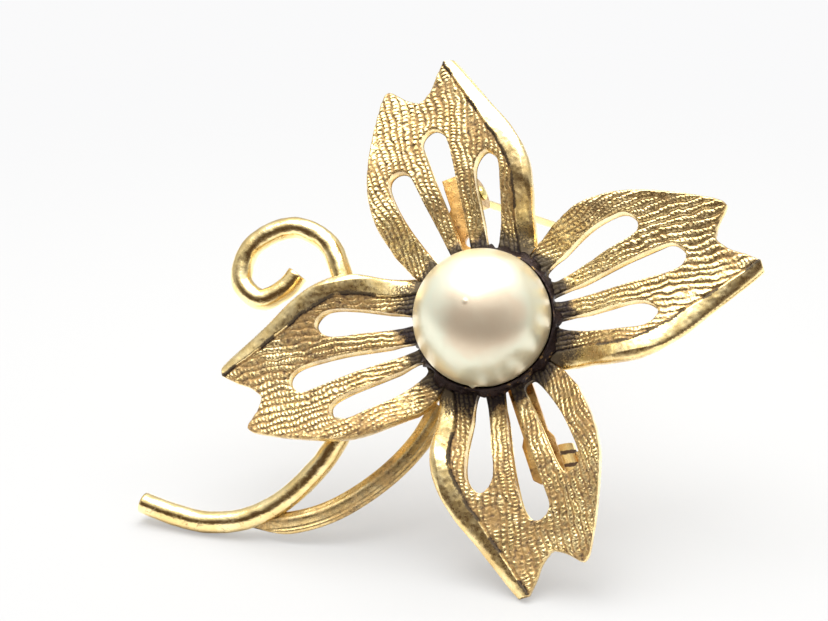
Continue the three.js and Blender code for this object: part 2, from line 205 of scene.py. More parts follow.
def lathe(profile, segments=64, wobble=None):
    """A solid of revolution about z from (radius, height) pairs that start and end on the axis."""
    points, rings = [], []
    for r, z in profile:
        if r < 1e-6:
            rings.append([len(points)])
            points.append((0, 0, z))
            continue
        rings.append(list(range(len(points), len(points) + segments)))
        for k in range(segments):
            a = 2 * math.pi * k / segments
            dr, dz = wobble(a, r, z) if wobble else (0, 0)
            points.append(((r + dr) * math.cos(a), (r + dr) * math.sin(a), z + dz))
    faces = []
    for low, high in zip(rings, rings[1:]):
        for k in range(segments):
            n = (k + 1) % segments
            if len(low) == 1:
                faces.append((low[0], high[n], high[k]))
            elif len(high) == 1:
                faces.append((low[k], low[n], high[0]))
            else:
                faces.append((low[k], low[n], high[n], high[k]))
    return np.array(points), faces


def ring_lathe(profile, segments=160, wobble=None):
    """A ring of revolution about z from a closed loop of (radius, height) pairs."""
    points, faces = [], []
    count = len(profile)
    for k in range(segments):
        a = 2 * math.pi * k / segments
        for r, z in profile:
            dr, dz = wobble(a, r, z) if wobble else (0, 0)
            points.append(((r + dr) * math.cos(a), (r + dr) * math.sin(a), z + dz))
    for k in range(segments):
        n = (k + 1) % segments
        for i in range(count):
            j = (i + 1) % count
            faces.append((k * count + i, n * count + i, n * count + j, k * count + j))
    return np.array(points), faces


def sweep(path, section, round_end=0.12):
    """A solid swept along a path. section(share, angle) gives (across, up) at a share of the length."""
    path = np.asarray(path, float)
    tangents = np.gradient(path, axis=0)
    tangents /= np.linalg.norm(tangents, axis=1)[:, None]
    lengths = np.concatenate([[0], np.cumsum(np.linalg.norm(np.diff(path, axis=0), axis=1))])
    share = lengths / lengths[-1]
    sides = 36
    stations = [(path[0] - tangents[0] * round_end * 0.6, tangents[0], 0, 1 - round_end)]
    stations += [(p, t, s, 1) for p, t, s in zip(path, tangents, share)]
    stations.append((path[-1] + tangents[-1] * round_end * 0.6, tangents[-1], 1, 1 - round_end))
    points = []
    for centre, tangent, s, size in stations:
        across = np.cross(tangent, (0, 0, 1))
        across /= np.linalg.norm(across)
        up = np.cross(across, tangent)
        for k in range(sides):
            a, b = section(s, 2 * math.pi * k / sides)
            points.append(centre + (across * a + up * b) * size)
    faces = []
    for i in range(len(stations) - 1):
        for k in range(sides):
            n = (k + 1) % sides
            faces.append((i * sides + k, i * sides + n, (i + 1) * sides + n, (i + 1) * sides + k))
    for station, order in ((0, -1), (len(stations) - 1, 1)):
        ring = [station * sides + k for k in range(sides)]
        middle = len(points)
        points.append(stations[station][0])
        faces += [(ring[k], ring[(k + 1) % sides], middle)[::order] for k in range(sides)]
    return np.array(points), faces


# ---- materials -----------------------------------------------------------------------------------


class Nodes:
    """Short forms for making the nodes of a material or of the world."""

    def __init__(self, tree):
        self.tree = tree

    def new(self, kind, **settings):
        node = self.tree.nodes.new(kind)
        for key, value in settings.items():
            setattr(node, key, value)
        return node

    def link(self, source, target):
        self.tree.links.new(source, target)

    def put(self, socket, value):
        if isinstance(value, bpy.types.NodeSocket):
            self.link(value, socket)
        else:
            socket.default_value = value

    def span(self, value, low, high, out_low=0.0, out_high=1.0):
        node = self.new("ShaderNodeMapRange", interpolation_type="SMOOTHSTEP")
        self.put(node.inputs["Value"], value)
        node.inputs["From Min"].default_value = low
        node.inputs["From Max"].default_value = high
        node.inputs["To Min"].default_value = out_low
        node.inputs["To Max"].default_value = out_high
        return node.outputs["Result"]

    def maths(self, operation, a, b=0.0):
        node = self.new("ShaderNodeMath", operation=operation)
        self.put(node.inputs[0], a)
        self.put(node.inputs[1], b)
        return node.outputs[0]

    def vector(self, operation, *values):
        """A vector operation. It gives a number for LENGTH and DOT_PRODUCT, and a vector otherwise."""
        node = self.new("ShaderNodeVectorMath", operation=operation)
        for socket, value in zip(node.inputs, values):
            self.put(socket, value)
        return node.outputs["Value" if operation in ("LENGTH", "DOT_PRODUCT") else "Vector"]

    def mix(self, share, a, b):
        node = self.new("ShaderNodeMix", data_type="RGBA")
        self.put(node.inputs["Factor"], share)
        self.put(node.inputs["A"], a)
        self.put(node.inputs["B"], b)
        return node.outputs["Result"]

    def seen(self):
        """1 for what the camera sees directly, 0 for light and reflections."""
        return self.new("ShaderNodeLightPath").outputs["Is Camera Ray"]


class Surface(Nodes):
    """A material with its shader."""

    def __init__(self, name):
        self.material = bpy.data.materials.new(name)
        self.material.use_nodes = True
        super().__init__(self.material.node_tree)
        self.shader = self.tree.nodes["Principled BSDF"]
        scale = self.new("ShaderNodeVectorMath", operation="SCALE")
        scale.inputs["Scale"].default_value = 1 / MM
        self.link(self.new("ShaderNodeTexCoord").outputs["Object"], scale.inputs[0])
        self.place = scale.outputs[0]  # millimetres in the row frame

    def value(self, name):
        return self.new("ShaderNodeAttribute", attribute_name=name).outputs["Fac"]

    def noise(self, size, detail=4, rough=0.55, twist=0.0):
        node = self.new("ShaderNodeTexNoise")
        self.link(self.place, node.inputs["Vector"])
        node.inputs["Scale"].default_value = 1 / size
        node.inputs["Detail"].default_value = detail
        node.inputs["Roughness"].default_value = rough
        node.inputs["Distortion"].default_value = twist
        return node.outputs["Fac"]

    def bump(self, height, depth):
        node = self.new("ShaderNodeBump")
        node.inputs["Distance"].default_value = depth * MM
        node.inputs["Strength"].default_value = 1.0
        self.link(height, node.inputs["Height"])
        self.link(node.outputs["Normal"], self.shader.inputs["Normal"])

    def set(self, **inputs):
        for key, value in inputs.items():
            self.put(self.shader.inputs[key.replace("_", " ")], value)


def rgb(r, g, b):
    return (r, g, b, 1.0)


PALE_GOLD = rgb(0.92, 0.745, 0.40)
GOLD = rgb(0.80, 0.595, 0.26)
DEEP_GOLD = rgb(0.48, 0.305, 0.12)
BROWN = rgb(0.13, 0.078, 0.045)
BLACK = rgb(0.022, 0.014, 0.016)


def antique_gold():
    """Cast gold tone with a dark patina in its recesses.

    The mesh says how raised, polished and grimy it is; on the petals its relief also carries painted shade, and on
    the right petal painted light.
    """
    n = Surface("antique_gold")
    relief, polish, grime = n.value("relief"), n.value("polish"), n.value("grime")
    patches = n.noise(3.2, detail=3)
    speckle = n.noise(0.16, detail=4, rough=0.65)
    worn = n.maths("ADD", relief, n.span(patches, 0.3, 0.7, -0.2, 0.12))
    worn = n.maths("ADD", worn, n.span(speckle, 0.3, 0.7, -0.16, 0.12))
    clean = n.span(worn, 0.12, 0.72)
    shine = n.span(n.maths("ADD", polish, n.span(patches, 0.3, 0.7, -0.1, 0.2)), 0.35, 0.8)
    clean = n.maths("MAXIMUM", clean, shine)
    dirt = n.span(n.maths("ADD", grime, n.span(speckle, 0.3, 0.7, -0.22, 0.22)), 0.3, 0.85)
    clean = n.maths("MULTIPLY", clean, n.span(dirt, 0, 1, 1, 0.1))
    metal = n.mix(n.span(n.noise(1.3, detail=5), 0.32, 0.68), GOLD, PALE_GOLD)
    metal = n.mix(n.span(n.noise(5.0, detail=3), 0.46, 0.72, 0, 0.4), metal, DEEP_GOLD)
    patina = n.mix(n.span(n.noise(0.5, detail=4), 0.28, 0.6), BROWN, DEEP_GOLD)
    patina = n.mix(dirt, patina, BLACK)
    n.set(Base_Color=n.mix(clean, patina, metal))
    n.set(Metallic=n.span(clean, 0, 0.6, 0.6, 1.0))
    rough = n.span(n.noise(0.4, detail=4), 0.3, 0.7, 0.22, 0.36)
    tarnish = n.span(clean, 0, 0.7, 0.34, 0)
    n.set(Roughness=n.maths("ADD", rough, tarnish))
    fine = n.maths("MULTIPLY", n.noise(0.07, detail=3), n.span(polish, 0.2, 0.9, 1, 0.3))
    n.bump(fine, 0.02)
    return n.material


GAP_SHADE_AT = 0.68  # from the catch's middle to each dark line of painted shade


def painted_catch_gap_shade(n):
    """Painted shade: two dark lines round the catch where the gaps between its rims would lie in shade."""
    along = n.vector("DOT_PRODUCT", n.place, ALONG_BAR)
    from_middle = n.maths("ABSOLUTE", n.maths("SUBTRACT", along, CATCH.dot(ALONG_BAR) / MM))
    off = n.maths("ABSOLUTE", n.maths("SUBTRACT", from_middle, GAP_SHADE_AT))
    ragged = n.maths("ADD", off, n.span(n.noise(0.6, detail=3), 0.3, 0.7, -0.06, 0.06))
    return n.span(ragged, 0.17, 0.25, 1, 0)


def smooth_gold(name, light, deep, rough_low, rough_high, patina_share=0.3, gap_shade=False):
    """Plated metal with soft tarnish patches, fine scratches and small pits."""
    n = Surface(name)
    patches = n.noise(2.6, detail=5, twist=0.4)
    metal = n.mix(n.span(patches, 0.35, 0.65), light, deep)
    tarnish = n.noise(1.1, detail=6, rough=0.65, twist=0.8)
    dark = n.span(tarnish, 0.56, 0.72, 0, patina_share)
    # The catch's two dark lines are painted shade for its gaps.
    if gap_shade:
        dark = n.maths("MAXIMUM", dark, painted_catch_gap_shade(n))
    pits = n.span(n.noise(0.22, detail=2), 0.68, 0.75, 0, 0.7 * patina_share)
    n.set(Base_Color=n.mix(n.maths("MAXIMUM", dark, pits), metal, BROWN))
    n.set(Metallic=n.span(dark, 0, 1, 1.0, 0.7))
    wear = n.span(n.noise(0.7, detail=5), 0.3, 0.7, rough_low, rough_high)
    n.set(Roughness=n.maths("ADD", wear, n.maths("MULTIPLY", dark, 0.4)))
    height = n.maths("ADD", n.noise(0.9, detail=4), n.maths("MULTIPLY", n.noise(0.12, detail=3), 0.18))
    n.bump(height, 0.05)
    return n.material


def pearl_coat():
    """Cream pearl coating, a soft glow under a clear coat. Its rose and green are a painted reflection set by how
    squarely each point faces the viewer: a beige middle for the dim room, a greenish ring for the pale floor and a
    warm rim.
    """
    n = Surface("pearl_coat")
    # Painted reflection: the colour below follows how squarely the surface faces the viewer.
    edge = n.new("ShaderNodeLayerWeight")
    edge.inputs["Blend"].default_value = 0.5
    slant = n.maths("ADD", edge.outputs["Facing"], n.span(n.noise(4.0, detail=2), 0.3, 0.7, -0.06, 0.06))
    inner = n.mix(n.span(slant, 0.08, 0.3), rgb(0.76, 0.63, 0.47), rgb(0.76, 0.77, 0.62))
    painted_reflection_tint = n.mix(n.span(slant, 0.42, 0.72), inner, rgb(0.78, 0.67, 0.43))
    cloud = n.span(n.noise(2.4, detail=3, twist=0.5), 0.4, 0.68, 0, 0.3)
    n.set(Base_Color=n.mix(cloud, painted_reflection_tint, rgb(0.80, 0.72, 0.56)))
    flecks = n.span(n.noise(0.35, detail=1), 0.74, 0.78, 0.0, 1.0)
    n.set(Roughness=n.span(n.noise(1.6, detail=3), 0.3, 0.7, 0.31, 0.35))
    n.set(Metallic=0.5, Coat_Weight=0.2, Coat_Roughness=0.24, Coat_IOR=1.5)
    height = n.maths("ADD", n.noise(3.0, detail=1), n.maths("MULTIPLY", flecks, 0.3))
    n.bump(height, 0.02)
    return n.material


def crud():
    """Blackened patina and old glue round the pearl, with gold rubbed through on its high spots."""
    n = Surface("dark_patina")
    lumps = n.noise(0.5, detail=5, rough=0.6)
    rubbed = n.span(n.maths("ADD", lumps, n.span(n.noise(1.7), 0.3, 0.7, -0.12, 0.08)), 0.6, 0.74)
    dark = n.mix(n.noise(0.9), rgb(0.012, 0.008, 0.01), rgb(0.05, 0.03, 0.028))
    n.set(Base_Color=n.mix(rubbed, dark, DEEP_GOLD))
    n.set(Metallic=n.span(rubbed, 0, 1, 0.6, 0.95))
    n.set(Roughness=n.span(n.noise(0.25), 0.3, 0.7, 0.3, 0.5), Specular_IOR_Level=0.3)
    n.bump(n.noise(0.3, detail=5), 0.12)
    return n.material


def solder():
    n = Surface("solder")
    grey = n.mix(n.span(n.noise(0.8, detail=5), 0.35, 0.65), rgb(0.42, 0.34, 0.22), rgb(0.66, 0.54, 0.34))
    n.set(Base_Color=n.mix(n.span(n.noise(0.4), 0.58, 0.7), grey, BROWN), Metallic=0.95)
    n.set(Roughness=n.span(n.noise(0.5, detail=4), 0.3, 0.7, 0.28, 0.5))
    n.bump(n.noise(0.5, detail=4), 0.06)
    return n.material


MATERIAL = {
    "antique_gold": antique_gold(),
    "polished_gold": smooth_gold("polished_gold", PALE_GOLD, GOLD, 0.14, 0.26, 0.55),
    "back_gold": smooth_gold("back_gold", rgb(0.80, 0.55, 0.22), rgb(0.60, 0.34, 0.11), 0.2, 0.36, 0.7),
    # A darker copy of back_gold: painted shade from the petals over the pin bar, besides its tarnish patches.
    "shaded_bar_gold": smooth_gold("shaded_bar_gold", rgb(0.70, 0.45, 0.17), rgb(0.44, 0.24, 0.08), 0.22, 0.38, 0.8),
    # Its two dark lines round the catch are painted shade for the catch's gaps.
    "catch_gold": smooth_gold("catch_gold", rgb(0.84, 0.60, 0.25), rgb(0.60, 0.34, 0.11), 0.2, 0.34, 0.5,
                              gap_shade=True),
    "dark_patina": crud(),
    "solder": solder(),
    "pin_metal": smooth_gold("pin_metal", rgb(0.88, 0.73, 0.27), rgb(0.82, 0.62, 0.20), 0.22, 0.32, 0.2),
    "pearl": pearl_coat(),
}

# ---- petals --------------------------------------------------------------------------------------
# Drawn with the long tip up the petal's own y axis.

ROOT_Z = 2.87
ROOT_R = 4.6
ROOT_ANGLE = 49.0
ROOT_SLIT = 1.2

LEFT_EDGE = [(-8.3, 8.3), (-9.45, 11.6), (-9.8, 15), (-9.3, 18.4), (-8.3, 22), (-7.2, 24.9), (-6.6, 25.6)]
NOTCH_LEFT = [(-6.2, 25.45), (-4.9, 24.45), (-3.7, 23.95)]
LONG_TIP_LEFT = [(-3.3, 24.1), (-2.3, 25.1), (-1.4, 26.7), (-0.6, 27.9)]
RIGHT_EDGE = [(0.45, 28.0), (1.5, 26.3), (3.4, 23.0), (5.6, 19.2), (6.9, 15.6), (6.95, 12.6), (6.3, 9.6),
              (6.03, 6.94)]
LIP_W = (0.95, 2.1)  # width of the rolled lip at the tip and at its middle
LIP_DROP = 0.88  # how far the lip rolls back at its outer edge
SLOTS = [
    [(-4.3, 7.1), (-6.4, 10.8), (-7.6, 14.4), (-7.6, 16), (-6.6, 16.8), (-5.5, 16.2), (-4.4, 12.8),
     (-3.2, 8.9), (-2.8, 7.4), (-3.4, 6.8)],
    [(-1.45, 7.4), (-2.5, 12.4), (-3.7, 17.8), (-3.9, 19.9), (-2.6, 20.9), (-1.4, 19.9), (-0.95, 16.8),
     (-0.7, 11), (-0.7, 7.4), (-1.05, 7.0)],
    [(1.15, 7.4), (1.05, 12), (1.2, 15.9), (2.6, 17.4), (3.8, 16), (3.55, 13), (2.8, 9.6), (2.15, 7.5),
     (1.65, 7.0)],
]

FAN = (0.5, -3.6)  # the ridges fan out from here
ROW_ANGLE = 0.0305  # from one ridge to the next, in radians
BEAD = 0.42  # length of a bead along a ridge
RELIEF = 0.22  # height of the ridges
EDGE_STEP = 0.11
GRID = 0.075
BACK_GRID = 0.4
# How much darker each petal is painted: painted shade on the left and bottom petals and painted light on the right
# one, as though lit from the upper right, with some real dirt on the bottom one.
PETAL_SHADE_AND_DIRT = {"top": 0.0, "right": -0.06, "bottom": 0.13, "left": 0.12}


def polar(r, degrees):
    return (r * math.cos(math.radians(degrees)), r * math.sin(math.radians(degrees)))


def petal_level(x, y):
    """Height of the petal's face without its ridges."""
    r = np.hypot(x, y)
    rise = 1.65 * ease(7.9, 16, r) - 0.3 * ease(18, 24, r)
    cup = 0.03 * np.minimum((x + 1.4) ** 2, 60) * ease(9, 15, r)
    return ROOT_Z + rise + cup


def petal_depth(x, y):
    """Thin over the hub, deep on the ribs, thinner again at the tips."""
    r = np.hypot(x, y)
    return 1 + 0.6 * (ease(8.8, 10.6, r) - ease(17, 25, r))


edge_line = evenly(spline(RIGHT_EDGE, 0.1), 0.04)
edge_share = np.linspace(0, 1, len(edge_line))
near_right_edge = Near(edge_line)


def lip_width(share):
    return LIP_W[0] + (LIP_W[1] - LIP_W[0]) * np.sin(np.pi * np.clip(share * 0.72 + 0.04, 0, 1)) ** 1.1


def petal_loops():
    """The outer border, anticlockwise, and the slots."""
    left = ROOT_ANGLE + 90 - ROOT_SLIT
    root = [polar(ROOT_R, a) for a in np.linspace(left, ROOT_ANGLE, 24)]
    border = [polar(9.5, left)] + list(spline(LEFT_EDGE, 0.1))
    border += list(spline(NOTCH_LEFT, 0.1)) + list(spline(LONG_TIP_LEFT, 0.1)) + list(edge_line)
    border += root[::-1]
    outer = evenly(np.array(border), EDGE_STEP, closed=True)[::-1]
    return [outer] + [evenly(spline(slot, 0.1, closed=True), EDGE_STEP, closed=True) for slot in SLOTS]


def inside(loop, x, y):
    """Which points lie inside a closed loop."""
    within = np.zeros(len(x), bool)
    for (x0, y0), (x1, y1) in zip(loop, np.roll(loop, -1, axis=0)):
        if y0 == y1:
            continue
        crosses = (y0 > y) != (y1 > y)
        within ^= crosses & (x < (x1 - x0) * (y - y0) / (y1 - y0) + x0)
    return within


def spread(loops, step, clearance):
    """Points on a triangular grid inside the border, outside the slots and clear of both."""
    low, high = loops[0].min(0), loops[0].max(0)
    rows = np.arange(low[1], high[1], step * math.sqrt(0.75))
    columns = np.arange(low[0], high[0], step)
    x = np.concatenate([columns + (step / 2 if j % 2 else 0) for j in range(len(rows))])
    y = np.repeat(rows, len(columns))
    keep = inside(loops[0], x, y)
    for slot in loops[1:]:
        keep &= ~inside(slot, x, y)
    x, y = x[keep], y[keep]
    _, gap = Near(np.vstack(loops))(x, y)
    keep = gap > clearance
    return np.stack([x[keep], y[keep]], 1)


def ridges(x, y):
    """Height of the fanned rows of beads, from 0 in a groove to 1 on a bead."""
    r = np.hypot(x - FAN[0], y - FAN[1])
    turn = np.arctan2(x - FAN[0], y - FAN[1])
    row = turn * (np.maximum(r, 19) / 19) ** 0.5 * (np.minimum(r, 17) / 17) ** 0.8 / ROW_ANGLE
    row = row + 0.4 * grain(x, y, 3.8, 1) + 0.24 * grain(x, y, 1.1, 2) + 0.15 * grain(x, y, 0.42, 16)
    k = np.floor(row)
    u = 2 * (row - k) - 1
    beaded = chance(k, 0, 3)
    along = r / (BEAD * (0.85 + 0.4 * chance(k, 0, 17))) + 7 * chance(k, 0, 4)
    along = along + 0.45 * grain(x, y, 1.1, 5) + 0.35 * u * u
    step = along - np.floor(along)
    bead = np.sin(np.pi * step**0.75) ** 0.7
    crest = np.clip(1 - np.abs(u) ** 2.2, 0, 1) ** 0.7
    height = crest * (1 - (0.25 + 0.4 * beaded) * (1 - bead))
    worn = ease(-0.1, 0.6, grain(x, y, 2.3, 26) + 0.4 * grain(x, y, 0.9, 27))
    height = height + 0.6 * worn * (0.6 + 0.4 * grain(x, y, 0.3, 28) - height)
    height = height * (0.84 + 0.28 * grain(x, y, 1.7, 6) + 0.12 * grain(x, y, 0.45, 18))
    return np.clip(height + 0.1 * grain(x, y, 0.2, 7), 0, 1)


def front_of(x, y, edge):
    """Height, relief, polish and grime of the petal's front.

    edge is the distance to the nearest plain edge.
    """
    level = petal_level(x, y)
    r = np.hypot(x, y)
    index, away = near_right_edge(x, y)
    width = lip_width(edge_share[index])
    width = width + 0.09 * grain(x, y, 1.1, 19) + 0.05 * grain(x, y, 0.3, 9)
    crest = 0.88 * width
    reach = np.clip((crest - away) / crest, 0, 1)
    outer = 0.35 * reach + 0.65 * (1 - np.sqrt(1 - reach**2))
    inner = np.clip((away - crest) / (width - crest), 0, 1) ** 2
    roll = level + 0.14 - LIP_DROP * outer - 0.24 * inner
    roll = roll + 0.02 * grain(x, y, 0.9, 8) + 0.012 * grain(x, y, 0.35, 20)
    past = away - width
    rows = ridges(x, y)
    lumps = 0.6 * grain(x, y, 1.0, 24) + 0.5 * grain(x, y, 0.45, 25)
    calm = ease(6.6, 10.2 + lumps, r)
    valley = np.exp(-((past / 0.16) ** 2))
    textured = level + RELIEF * (rows - 0.6) * (0.35 + 0.65 * calm) - 0.1 * valley
    textured = textured + (0.1 + 0.16 * lumps) * (1 - calm)
    textured = textured - 0.16 * np.clip(1 - edge / 0.2, 0, 1) ** 2
    share = ease(-0.02, 0.1, past)
    height = roll * (1 - share) + textured * share
    polish = 1 - ease(-0.14, 0.04, past)
    relief = np.clip(rows * ease(-0.05, 0.3, past) + polish, 0, 1)
    patch = grain(x, y, 1.6, 11)
    grime = 1 - ease(7.9, 10.9 + 1.9 * grain(x, y, 1.0, 10), r)
    lip_end = 0.8 * (1 - ease(8.5, 14.5 + 1.5 * patch, r)) * ease(0.25, 0.8, away)
    lip_end = lip_end * (1 - ease(0.1, 0.5, past))
    ragged = 0.95 * np.exp(-(((past + 0.12) / 0.26) ** 2)) * ease(-0.4, 0.2, patch)
    grime = np.maximum(grime, np.maximum(lip_end, ragged))
    return height, relief, polish, np.clip(grime, 0, 1)


def outward(loop):
    """Unit normals of a loop, away from the metal on its left."""
    along = np.roll(loop, -1, axis=0) - np.roll(loop, 1, axis=0)
    along /= np.linalg.norm(along, axis=1)[:, None]
    return np.stack([along[:, 1], -along[:, 0]], 1)


def fill(loops, inner):
    """Triangles between the loops, as indices into the loops' points followed by the inner points."""
    points = np.vstack(loops + [inner])
    edges, start = [], 0
    for loop in loops:
        edges += [(start + i, start + (i + 1) % len(loop)) for i in range(len(loop))]
        start += len(loop)
    made = delaunay_2d_cdt([Vector(p) for p in points], edges, [], 0, 1e-6)
    origin = [o[0] if o else -1 for o in made[3]]
    triangles = np.array([[origin[i] for i in f] for f in made[2]])
    triangles = triangles[(triangles >= 0).all(1)]
    middle = points[triangles].mean(1)
    keep = inside(loops[0], middle[:, 0], middle[:, 1])
    for slot in loops[1:]:
        keep &= ~inside(slot, middle[:, 0], middle[:, 1])
    return triangles[keep]


# Each wall ring as (how far it stands out from the front's edge, its share of the depth).
WALL = [(0.035, 0.07), (0.06, 0.2), (0.075, 0.5), (0.08, 0.8), (0.05, 0.94), (-0.03, 1.0)]


def petal_mesh():
    """Points, faces and values of one petal."""
    loops = petal_loops()
    edge_samples = np.vstack([loops[0][near_right_edge(*loops[0].T)[1] > 0.3]] + loops[1:])
    near_edge = Near(edge_samples)
    inner = spread(loops, GRID, 0.6 * GRID)
    flat = np.vstack(loops + [inner])
    x, y = flat.T
    front, relief, polish, grime = front_of(x, y, near_edge(x, y)[1])
    triangles = fill(loops, inner)
    points = [np.column_stack([x, y, front])]
    values = [np.column_stack([relief, polish, grime])]
    faces = [tuple(t) for t in triangles]

    border = sum(len(loop) for loop in loops)
    rim = flat[:border]
    normals = np.vstack([outward(loops[0])] + [outward(loop[::-1])[::-1] for loop in loops[1:]])
    depth = petal_depth(*rim.T)
    back_level = petal_level(*rim.T) - depth
    rippled = 1 + 0.5 * grain(rim[:, 0], rim[:, 1], 1.3, 12)
    previous, total = 0, len(flat)
    for out, share in WALL:
        at = rim + normals * (out * rippled)[:, None]
        z = front[:border] * (1 - share) + back_level * share
        points.append(np.column_stack([at, z]))
        shade = 0.45 + 0.12 * grain(rim[:, 0], rim[:, 1], 0.8, 13)
        dirt = 0.85 * (1 - ease(7.6, 9.6, np.hypot(*rim.T)))
        values.append(np.column_stack([shade, shade + 0.25, dirt]))
        start = 0
        for loop, sign in zip(loops, [1] + [-1] * len(SLOTS)):
            for i in range(len(loop)):
                a, b = start + i, start + (i + 1) % len(loop)
                quad = (previous + a, total + a, total + b, previous + b)
                faces.append(quad[::sign])
            start += len(loop)
        previous, total = total, total + border

    back_rim = points[-1][:, :2]
    back_loops, start = [], 0
    for loop in loops:
        back_loops.append(back_rim[start:start + len(loop)])
        start += len(loop)
    back_inner = spread(back_loops, BACK_GRID, 0.5 * BACK_GRID)
    bx, by = back_inner.T
    z = petal_level(bx, by) - petal_depth(bx, by) + 0.05 * grain(bx, by, 0.9, 14)
    points.append(np.column_stack([bx, by, z]))
    dirt = 0.5 * (1 - ease(7.6, 9.6, np.hypot(bx, by)))
    values.append(np.column_stack([0.5 + 0.2 * grain(bx, by, 1.6, 15), 0.5 + 0 * bx, dirt]))
    for t in fill(back_loops, back_inner):
        where = np.where(t < border, t + previous, t - border + total)
        faces.append(tuple(where[::-1]))
    return np.vstack(points), faces, np.vstack(values)


def add_petals():
    points, faces, values = petal_mesh()
    # Each petal's tarnish value lowers its relief: painted shade, and painted light where it is negative, with
    # some real dirt on the bottom petal.
    for k, (side, tarnish) in enumerate(PETAL_SHADE_AND_DIRT.items()):
        named = {"relief": values[:, 0] - tarnish, "polish": values[:, 1], "grime": values[:, 2]}
        add_piece("fine_petal_" + side, "brooch", ["petal_" + side], points, faces,
                  turned(TIP_TURN - 90 * k), [MATERIAL["antique_gold"]], named)


add_petals()

# ---- centre --------------------------------------------------------------------------------------

PEARL_R = 6.9
PEARL_Z = 5.0
PEARL_BACK_Z = 3.45


def add_pearl():
    first = math.asin((PEARL_BACK_Z - PEARL_Z) / PEARL_R)
    profile = [(0, PEARL_BACK_Z), (3, PEARL_BACK_Z), (5.9, PEARL_BACK_Z), (6.6, PEARL_BACK_Z + 0.02)]
    steps = 60
    for i in range(1, steps):
        a = first + (math.pi / 2 - first) * i / steps
        profile.append((PEARL_R * math.cos(a), PEARL_Z + PEARL_R * math.sin(a)))
    profile.append((0, DOME_TOP))

    def nub(angle, r, z):
        """A drip of the coating at the pearl's lowest edge."""
        off = (angle - math.radians(272)) * PEARL_R
        near = math.exp(-((off / 0.28) ** 2) - ((z - 4.7) / 0.35) ** 2)
        return 0.28 * near, 0

    points, faces = lathe(profile, 160, nub)
    add_piece("pearl_dome", "brooch", ["pearl"], points, faces, FACE, [MATERIAL["pearl"]])


def add_seat():
    """The blackened ring that the pearl sits in, with lumps of patina reaching out over the roots."""
    low, top = ROOT_Z + 0.08, 4.1
    profile = [(5.2, low), (6.4, low), (7.2, low - 0.05), (7.55, low - 0.05), (7.62, low + 0.12),
               (7.46, low + 0.4),
               (7.28, low + 0.8), (7.12, top), (7.02, top - 0.02), (6.96, low + 0.75), (6.7, low + 0.42),
               (5.2, low + 0.36)]

    def lumpy(angle, r, z):
        share = float(ease(6.9, 7.4, r))
        x, y = np.float64(7.2 * math.cos(angle)), np.float64(7.2 * math.sin(angle) + 0.3 * z)
        rough = 0.7 * grain(x, y, 1.1, 21) + 0.6 * grain(x, y, 0.4, 22)
        low_share = float(1 - ease(low + 0.1, low + 0.9, z))
        return share * (0.1 + 0.4 * low_share) * float(rough), 0.16 * share * float(rough)

    points, faces = ring_lathe(profile, 320, lumpy)
    add_piece("seat_crud", "brooch", ["pearl_seat"], points, faces, FACE,
              [MATERIAL["dark_patina"]])


add_pearl()
add_seat()

# ---- stems ---------------------------------------------------------------------------------------

STEM_R = 1.12
STEM_LINE = [(-33.1, -23.2, 1.6), (-29.4, -23.9, 1.6), (-25.6, -24.1, 1.6), (-21.6, -23.1, 1.6),
             (-17.9, -20.6, 1.7),
             (-14.9, -16.9, 2), (-13.3, -14, 2.6), (-12.7, -12, 3.1)]
SCROLL_LINE = [(-15.2, 0.5), (-16.3, 3.2), (-18.6, 6.3), (-22.6, 7.4), (-26.5, 5), (-27, 1.2),
               (-24.5, -0.6),
               (-22.1, 0.8), (-21, 2.5)]
SCROLL_Z = 2.6
BRANCH_LINE = [(-22, -23.6), (-16.8, -22.7), (-12.4, -20.6), (-8.2, -16.9), (-5.3, -12.9), (-3.7, -8.9)]
BRANCH_Z = 1.1


def hammered(seed, radius, amount):
    """A round section that a little uneven handwork has flattened here and there."""

    def section(share, angle):
        u, v = np.float64(share * 40), np.float64(angle * 2)
        lumps = grain(u, v, 1.8, seed) + 0.5 * grain(u, v, 0.6, seed + 1)
        r = radius * (1 + amount * float(lumps))
        return r * math.cos(angle), r * math.sin(angle)

    return section


def ridged(share, angle):
    """A flat band with a raised rib along its middle, drawn out to a point where it meets the stem."""
    narrow = float(ease(-0.02, 0.2, share))
    half_w, half_t = 0.3 + 0.85 * narrow, 0.35 + 0.2 * narrow
    c, s = math.cos(angle), math.sin(angle)
    across = half_w * math.copysign(abs(c) ** 0.6, c)
    up = half_t * math.copysign(abs(s) ** 0.6, s)
    if s > 0:
        up += 0.3 * math.exp(-((across + 0.2) / 0.32) ** 2) - 0.2 * math.exp(-((across - 0.55) / 0.2) ** 2)
        up -= 0.12
    return across, up


def add_stems():
    scroll_line = [(x, y, SCROLL_Z) for x, y in SCROLL_LINE]
    for name, node, line, seed, amount in (("stem_wire", "stem", STEM_LINE, 31, 0.022),
                                           ("scroll_wire", "scroll", scroll_line, 35, 0.03)):
        points, faces = sweep(evenly(spline(line, 0.2), 0.25), hammered(seed, STEM_R, amount))
        add_piece(name, "brooch", [node], points, faces, FACE, [MATERIAL["polished_gold"]])
    branch = evenly(spline([(x, y, BRANCH_Z) for x, y in BRANCH_LINE], 0.2), 0.25)
    points, faces = sweep(branch, ridged)
    rise = np.full(len(points), 0.5)
    add_piece("branch_band", "brooch", ["branch"], points, faces, FACE,
              [MATERIAL["antique_gold"]], {"relief": rise, "polish": rise, "grime": 0 * rise})


add_stems()

# ---- pin back ------------------------------------------------------------------------------------

